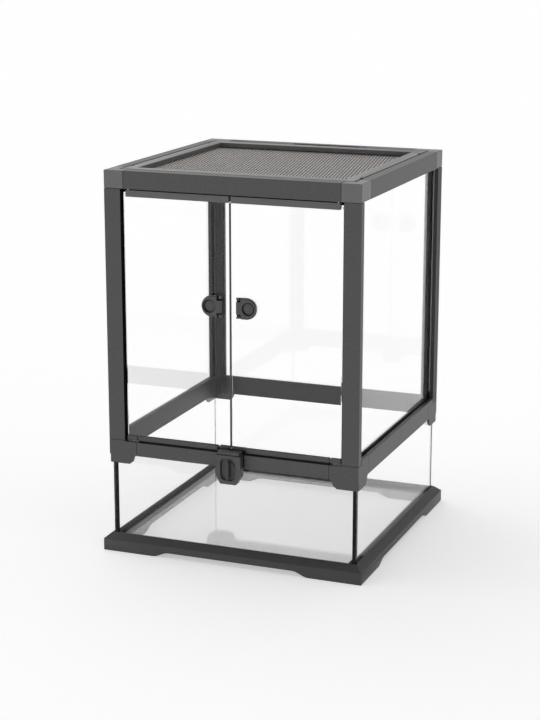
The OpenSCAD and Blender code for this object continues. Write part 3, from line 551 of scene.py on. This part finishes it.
class TERRARIUM_OT_stage(Operator):
    """Lay a pale floor and light it softly"""
    bl_idname = "terrarium.stage"
    bl_label = "Stage"

    def execute(self, context):
        deselect()
        bpy.ops.mesh.primitive_plane_add(size=FLOOR_SPAN)
        floor = new_piece("floor")
        apply_place()
        material, tree, shader = new_material("pale_floor")
        shader.inputs["Base Color"].default_value = [FLOOR_SHADE] * 3 + [1]
        shader.inputs["Roughness"].default_value = 0.9
        shader.inputs["Specular IOR Level"].default_value = 0.0
        shader.inputs["Emission Color"].default_value = (1, 1, 1, 1)
        shader.inputs["Emission Strength"].default_value = FLOOR_GLOW
        floor.data.materials.append(material)

        world = bpy.data.worlds.new("studio")
        context.scene.world = world
        world.use_nodes = True
        tree = world.node_tree
        background = tree.nodes["Background"]
        direction = add_node(tree, "ShaderNodeTexCoord").outputs["Generated"]
        axes = add_node(tree, "ShaderNodeSeparateXYZ", {}, {"Vector": direction})
        # a bright band round the horizon, which fades towards the ceiling
        ramp = add_node(tree, "ShaderNodeValToRGB", {}, {"Fac": axes.outputs["Z"]})
        stops = ramp.color_ramp.elements
        stops[0].color = [ROOM_LEVEL] * 3 + [1]
        stops[1].color = [ROOM_TOP] * 3 + [1]
        for place, level in ROOM_BANDS:
            stop = stops.new(place)
            stop.color = [level] * 3 + [1]
        light = ramp.outputs["Color"]
        for aim, start, depth in ROOM_SHADES:
            towards = add_node(
                tree, "ShaderNodeVectorMath", {"operation": "DOT_PRODUCT", 1: aim},
                {0: direction})
            shade = add_node(
                tree, "ShaderNodeMapRange",
                {"From Min": start, "From Max": SHADE_CORE, "To Min": 1.0, "To Max": 1 - depth},
                {"Value": towards.outputs["Value"]})
            light = add_node(
                tree, "ShaderNodeVectorMath", {"operation": "MULTIPLY"},
                {0: light, 1: shade.outputs["Result"]}).outputs["Vector"]
        tree.links.new(light, background.inputs["Color"])
        background.inputs["Strength"].default_value = ROOM_STRENGTH
        context.scene.view_settings.view_transform = "Standard"
        return {"FINISHED"}


class TERRARIUM_OT_base(Operator):
    """Finish the moulded base tray"""
    bl_idname = "terrarium.base"
    bl_label = "Base tray"

    def execute(self, context):
        soften("base_tray", "base", sizes().rail_edge, "moulding", flats=False)
        return {"FINISHED"}


class TERRARIUM_OT_panes(Operator):
    """Finish all the panes, with ground edges"""
    bl_idname = "terrarium.panes"
    bl_label = "Glass panes"

    def execute(self, context):
        for node in frame["nodes"]:
            if node.endswith("_glass") or node.startswith("side_glass"):
                piece = copy_of(node, f"{node}_pane")
                use_modifier(
                    piece, "BEVEL", width=sizes().glass_arris, segments=1,
                    limit_method="ANGLE", angle_limit=math.radians(60))
                kind = {"door": "door_glass", "tank": "tank_glass"}.get(node[:4], "glass")
                finish(piece, kind, [node])
        return {"FINISHED"}


class TERRARIUM_OT_silicone(Operator):
    """Finish the beads of silicone in the tank"""
    bl_idname = "terrarium.silicone"
    bl_label = "Silicone beads"

    def execute(self, context):
        piece = copy_of("tank_silicone", "tank_silicone_beads", flats=False)
        low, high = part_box("tank_silicone")
        # the film in the back left corner is pressed thin
        pane, film, depth = 4 * MM, 0.6 * MM, 0.7 * MM
        select_parts(piece, "VERT", lambda co: (
            abs(co.x - low[0] - pane) < 2 * NEAR and high[1] - co.y < depth))
        bpy.ops.transform.translate(value=(film - pane, 0, 0))
        bpy.ops.object.mode_set(mode="OBJECT")
        finish(piece, "silicone", ["tank_silicone"])
        return {"FINISHED"}


class TERRARIUM_OT_rails(Operator):
    """Finish the extruded rails and posts"""
    bl_idname = "terrarium.rails"
    bl_label = "Rails and posts"

    def execute(self, context):
        edge = sizes().rail_edge
        for level in ("mid", "top"):
            for axis, pair in ((0, ("front", "back")), (1, ("left", "right"))):
                for side in pair:
                    kind = "rail_y" if axis else "rail_x"
                    node = f"{level}_rail_{side}"
                    soften(node, kind, edge, "extrusion", reveal=(axis, sizes().reveal))
        for place in ("front_left", "front_right", "back_left", "back_right"):
            # the back posts get the rails' vinyl painted darker, as painted shade
            kind = "rail_z" if place.startswith("front") else "back_post"
            node = f"post_{place}"
            soften(node, kind, edge, "extrusion", reveal=(2, sizes().reveal))
        return {"FINISHED"}


class TERRARIUM_OT_jambs(Operator):
    """Line the front posts with the soft strips that the doors close beside"""
    bl_idname = "terrarium.jambs"
    bl_label = "Jamb strips"

    def execute(self, context):
        thick, margin, lip, channel, edge = 0.5 * MM, 0.4 * MM, 0.9 * MM, 0.3 * MM, 0.1 * MM
        for side, sign in (("left", 1), ("right", -1)):
            post = f"post_front_{side}"
            low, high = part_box(post)
            face = high[0] if side == "left" else low[0]
            strip = block(
                f"jamb_strip_{side}",
                (thick, high[1] - low[1] - 2 * margin, high[2] - low[2]),
                (face + sign * thick / 2, (low[1] + high[1]) / 2, (low[2] + high[2]) / 2))
            # a shallow channel down the strip, between two lips
            select_parts(strip, "FACE", lambda centre, normal: normal.x * sign > 0.9)
            bpy.ops.mesh.inset(thickness=lip)
            bpy.ops.transform.translate(value=(-sign * channel, 0, 0))
            bpy.ops.object.mode_set(mode="OBJECT")
            round_edges(strip, edge, segments=1)
            finish(strip, "foam", [post], stands_in=False)
        return {"FINISHED"}


class TERRARIUM_OT_draught_strips(Operator):
    """Hang the short foam strips behind the doors' top corners"""
    bl_idname = "terrarium.draught_strips"
    bl_label = "Draught strips"

    def execute(self, context):
        low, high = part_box("door_left_glass")
        length, thick, height = 26 * MM, 1.6 * MM, 6 * MM
        inset, rise = 3.5 * MM, 3.6 * MM
        clear = low[1] + 8.3 * MM      # the doors' heels swing up to here
        for side, sign in (("left", -1), ("right", 1)):
            strip = block(
                f"draught_strip_{side}", (length, thick, height),
                (sign * (-low[0] - inset), clear + thick / 2, high[2] + rise))
            # its lower edge tapers to a lip
            select_parts(strip, "FACE", lambda centre, normal: normal.z < -0.9)
            bpy.ops.transform.resize(value=(0.96, 0.4, 1))
            bpy.ops.object.mode_set(mode="OBJECT")
            round_edges(strip, SOFT_EDGE, segments=1)
            finish(strip, "foam", ["top_rail_front"], stands_in=False)
        return {"FINISHED"}


class TERRARIUM_OT_corners(Operator):
    """Finish the moulded corner pieces"""
    bl_idname = "terrarium.corners"
    bl_label = "Corner pieces"

    def execute(self, context):
        for place in ("front_left", "front_right", "back_left", "back_right"):
            soften(f"mid_corner_{place}", "rail_z", sizes().fine_edge, "moulding")
            soften(f"top_corner_{place}", "corner", sizes().moulded_edge, "moulding")
        return {"FINISHED"}


class TERRARIUM_OT_lock(Operator):
    """Finish the lock under the doors"""
    bl_idname = "terrarium.lock"
    bl_label = "Lock"

    def execute(self, context):
        soften("lock_housing", "fitting", sizes().fine_edge, "moulding")
        soften("lock_bolt", "fitting", sizes().fine_edge, "moulding")
        soften("lock_knob", "knob", sizes().fine_edge, "moulding")
        # black strips along the housing's sides, where it meets the rail: painted shade for the
        # dark contact gap between them
        low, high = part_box("lock_housing")
        rail_low, rail_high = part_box("mid_rail_front")
        width, thick, margin = 1.5 * MM, 1.6 * MM, 1.5 * MM
        outset, sunk = 0.7 * MM, 0.3 * MM
        for side, edge, sign in (("left", low[0], -1), ("right", high[0], 1)):
            strip = rod(
                f"lock_contact_shade_{side}", 8,
                (width, thick, rail_high[2] - rail_low[2] - 2 * margin),
                (edge + sign * outset, rail_low[1] + sunk, (rail_high[2] + rail_low[2]) / 2))
            finish(strip, "foam", ["lock_housing"], stands_in=False)
        paint("lock_back_plate", "fitting")
        paint("lock_screws", "steel")
        return {"FINISHED"}


class TERRARIUM_OT_doors(Operator):
    """Finish the doors' strips, shoes and pins"""
    bl_idname = "terrarium.doors"
    bl_label = "Door fittings"

    def execute(self, context):
        for side in ("left", "right"):
            for part in ("top_strip", "bottom_strip", "hinge_shoe", "keeper"):
                kind = "strip" if part == "top_strip" else "fitting"
                soften(f"door_{side}_{part}", kind, sizes().fine_edge, "moulding")
            paint(f"door_{side}_hinge_pins", "steel")
            paint(f"door_{side}_handle_screw", "steel")
            soften(f"door_{side}_handle_back", "fitting", sizes().fine_edge, "moulding")
        soften("door_seal", "seal", sizes().fine_edge, "strip")
        return {"FINISHED"}


class TERRARIUM_OT_handles(Operator):
    """Finish the two handles"""
    bl_idname = "terrarium.handles"
    bl_label = "Handles"

    def execute(self, context):
        for side in ("left", "right"):
            soften(f"door_{side}_handle", "fitting", sizes().fine_edge, "moulding")
            soften(f"door_{side}_handle_cap", "fitting", sizes().fine_edge, "moulding")
            low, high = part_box(f"door_{side}_handle")
            middle, reach = (low[2] + high[2]) / 2, (high[2] - low[2]) / 2 - 0.5 * MM
            gap, slope = 0.2 * MM, 0.4 * MM
            # the straight edge of a handle is the one nearer to the other door
            inner, outward = (high[0], -1) if side == "left" else (low[0], 1)
            # a black pad in each of its two corner notches is painted shade, and a nib of the
            # strips' grey stands in front of it
            for name, kind, like, size, back in (
                    ("notch_shades", "foam", "door_seal", Vector((5.8, 0.6, 5.2)) * MM, 2.6 * MM),
                    ("nibs", "strip", None, Vector((2.8, 1.6, 2.3)) * MM, 1.4 * MM)):
                x = inner + outward * (size.x / 2 + gap)
                piece = join([
                    block(
                        f"handle_{name}_{side}", size,
                        (x, low[1] + back, level + up * (size.z / 2 + gap)))
                    for level, up in ((high[2], -1), (low[2], 1))])
                # each slopes back at its outer end
                select_parts(piece, "EDGE", lambda a, b: (
                    max(a.y, b.y) < low[1] + back
                    and max(abs(a.z - middle), abs(b.z - middle)) > reach
                    and abs(a.z - b.z) < 2 * NEAR))
                bpy.ops.transform.translate(value=(0, slope, 0))
                bpy.ops.object.mode_set(mode="OBJECT")
                round_edges(piece, SOFT_EDGE, segments=1)
                finish(piece, kind, [f"door_{side}_handle"], stands_in=False)
        return {"FINISHED"}


class TERRARIUM_OT_lid(Operator):
    """Finish the lid's frame and ring"""
    bl_idname = "terrarium.lid"
    bl_label = "Lid frame"

    def execute(self, context):
        piece = copy_of("lid_frame", "lid_frame_moulding", flats=False)
        # its rim is drawn in, so that a dark gap shows all round it
        for axis in (0, 1):
            draw_in(piece, "lid_frame", axis, sizes().lid_reveal)
        round_edges(piece, sizes().moulded_edge)
        finish(piece, "corner", ["lid_frame"])
        paint("lid_retainer", "fitting")
        return {"FINISHED"}


class TERRARIUM_OT_gap_shade(Operator):
    """Lay a black ring in the gap round the lid, with black wedges in its four finger notches:
    painted shade that keeps them dark
    """
    bl_idname = "terrarium.gasket"
    bl_label = "Lid gasket"

    def execute(self, context):
        low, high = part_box("lid_frame")
        clear, outer = 0.1 * MM, 1.0 * MM
        inner = clear - sizes().lid_reveal
        sunk, depth = 0.6 * MM, 2.5 * MM
        deselect()
        bpy.ops.mesh.primitive_plane_add(size=1)
        ring = new_piece("lid_gap_painted_shade")
        ring.scale = (high[0] - low[0] + 2 * outer, high[1] - low[1] + 2 * outer, 1)
        ring.location = ((low[0] + high[0]) / 2, (low[1] + high[1]) / 2, high[2] - sunk)
        apply_place()
        bpy.ops.object.mode_set(mode="EDIT")
        bpy.ops.mesh.select_all(action="SELECT")
        bpy.ops.mesh.inset(thickness=outer - inner)
        bpy.ops.mesh.delete(type="FACE")
        bpy.ops.mesh.select_all(action="SELECT")
        bpy.ops.mesh.extrude_region_move(TRANSFORM_OT_translate={"value": (0, 0, -depth)})
        bpy.ops.mesh.select_all(action="SELECT")
        bpy.ops.mesh.normals_make_consistent(inside=False)
        bpy.ops.object.mode_set(mode="OBJECT")
        # black wedges that fill the four finger notches, as painted shade
        made = [ring]
        wedge_size = (7.6 * MM, 10.8 * MM, depth - 1 * MM)
        inset, from_front, from_back = 1.6 * MM, 29 * MM, 27 * MM
        for side, edge in ((1, high[0]), (-1, low[0])):
            for y in (low[1] + from_front, high[1] - from_back):
                made.append(rod(
                    "notch_shade_wedge", 3, wedge_size, (edge - side * inset, y, high[2] - depth / 2),
                    turn=(0, 0, side * math.pi / 2)))
        join(made)
        finish(ring, "foam", ["top_rail_front"], stands_in=False)
        return {"FINISHED"}


class TERRARIUM_OT_screen(Operator):
    """Model the lid's screen: thin strands, staggered bridges, and bright wires between them that
    are painted glints
    """
    bl_idname = "terrarium.screen"
    bl_label = "Lid screen"

    def execute(self, context):
        low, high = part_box("lid_screen")
        middle = (low + high) / 2
        span = high - low
        pitch, width = sizes().strand_pitch, sizes().strand_width
        row, bridge = sizes().bridge_pitch, sizes().bridge_width
        thick, overlap, clear = 0.4 * MM, 0.15 * MM, 0.3 * MM
        bridge_thick, wire_thick, wire_rise = 0.7 * thick, 0.5 * MM, 0.1 * MM
        level = high[2] - thick / 2
        along = (math.pi / 2, 0, 0)
        flat = math.sqrt(0.75)         # a hexagon's height against its width
        slots = int((span[0] - width) / pitch)
        rows = int((span[1] - bridge) / row)
        # strands, front to back: such a sheet's are about 1.2 mm apart, and drawn coarser to show
        strands = rod(
            "strands", 6, (width, span[1], thick / flat),
            (middle[0] - pitch * slots / 2, middle[1], level), along)
        repeat(strands, slots + 1, (pitch, 0, 0))
        made, wires = [strands], []
        # bridges, staggered from one slot to the next, and a bright wire along each slot as a
        # painted glint
        for odd in (0, 1):
            start = Vector((
                middle[0] - pitch * (slots - 1) / 2 + odd * pitch,
                middle[1] - row * (rows - 1) / 2 + (odd - 0.5) * row / 2, level))
            bridges = block(
                "bridges", (pitch - width + 2 * overlap, bridge, bridge_thick), start)
            wire = rod(
                "wires", 6, (sizes().wire_width, row - bridge - 2 * clear, wire_thick),
                start + Vector((0, row / 2, wire_rise)), along)
            for piece, count in ((bridges, rows), (wire, rows - 1)):
                repeat(piece, (slots + 1 - odd) // 2, (2 * pitch, 0, 0))
                repeat(piece, count, (0, row, 0))
            made.append(bridges)
            wires.append(wire)
        for pieces, name in ((made, "lid_screen_slotted_sheet"), (wires, "lid_screen_glint_wires")):
            join(pieces)
            new_piece(name)
        finish(made[0], "screen", ["lid_screen"])
        finish(wires[0], "wire", ["lid_screen"], stands_in=False)
        return {"FINISHED"}


class TERRARIUM_OT_cable_port(Operator):
    """Finish the shutter of the cable port"""
    bl_idname = "terrarium.cable_port"
    bl_label = "Cable port"

    def execute(self, context):
        soften("cable_port_shutter", "fitting", sizes().fine_edge, "moulding")
        return {"FINISHED"}


STEPS = (
    TERRARIUM_OT_camera, TERRARIUM_OT_stage, TERRARIUM_OT_base, TERRARIUM_OT_panes,
    TERRARIUM_OT_silicone, TERRARIUM_OT_rails, TERRARIUM_OT_jambs,
    TERRARIUM_OT_draught_strips, TERRARIUM_OT_corners,
    TERRARIUM_OT_lock, TERRARIUM_OT_doors, TERRARIUM_OT_handles, TERRARIUM_OT_lid,
    TERRARIUM_OT_gap_shade, TERRARIUM_OT_screen, TERRARIUM_OT_cable_port,
)


class TERRARIUM_PT_sidebar(Panel):
    """Lists the steps that finish the terrarium"""
    bl_idname = "TERRARIUM_PT_sidebar"
    bl_label = "Glass terrarium"
    bl_space_type = "VIEW_3D"
    bl_region_type = "UI"
    bl_category = "Terrarium"

    def draw(self, context):
        for step in STEPS:
            self.layout.operator(step.bl_idname)
        for group in (sizes(), colours()):
            for name in group.__annotations__:
                self.layout.prop(group, name)


CLASSES = (TerrariumSizes, TerrariumColours, TERRARIUM_PT_sidebar) + STEPS


def register():
    for made in CLASSES:
        bpy.utils.register_class(made)
    bpy.types.Scene.terrarium_sizes = PointerProperty(type=TerrariumSizes)
    bpy.types.Scene.terrarium_colours = PointerProperty(type=TerrariumColours)


def unregister():
    del bpy.types.Scene.terrarium_sizes
    del bpy.types.Scene.terrarium_colours
    for made in reversed(CLASSES):
        bpy.utils.unregister_class(made)


def main():
    register()
    bpy.ops.terrarium.camera()
    bpy.ops.terrarium.stage()
    bpy.ops.terrarium.base()
    bpy.ops.terrarium.panes()
    bpy.ops.terrarium.silicone()
    bpy.ops.terrarium.rails()
    bpy.ops.terrarium.jambs()
    bpy.ops.terrarium.draught_strips()
    bpy.ops.terrarium.corners()
    bpy.ops.terrarium.lock()
    bpy.ops.terrarium.doors()
    bpy.ops.terrarium.handles()
    bpy.ops.terrarium.lid()
    bpy.ops.terrarium.gasket()
    bpy.ops.terrarium.screen()
    bpy.ops.terrarium.cable_port()
    deselect()


if __name__ == "__main__":
    main()
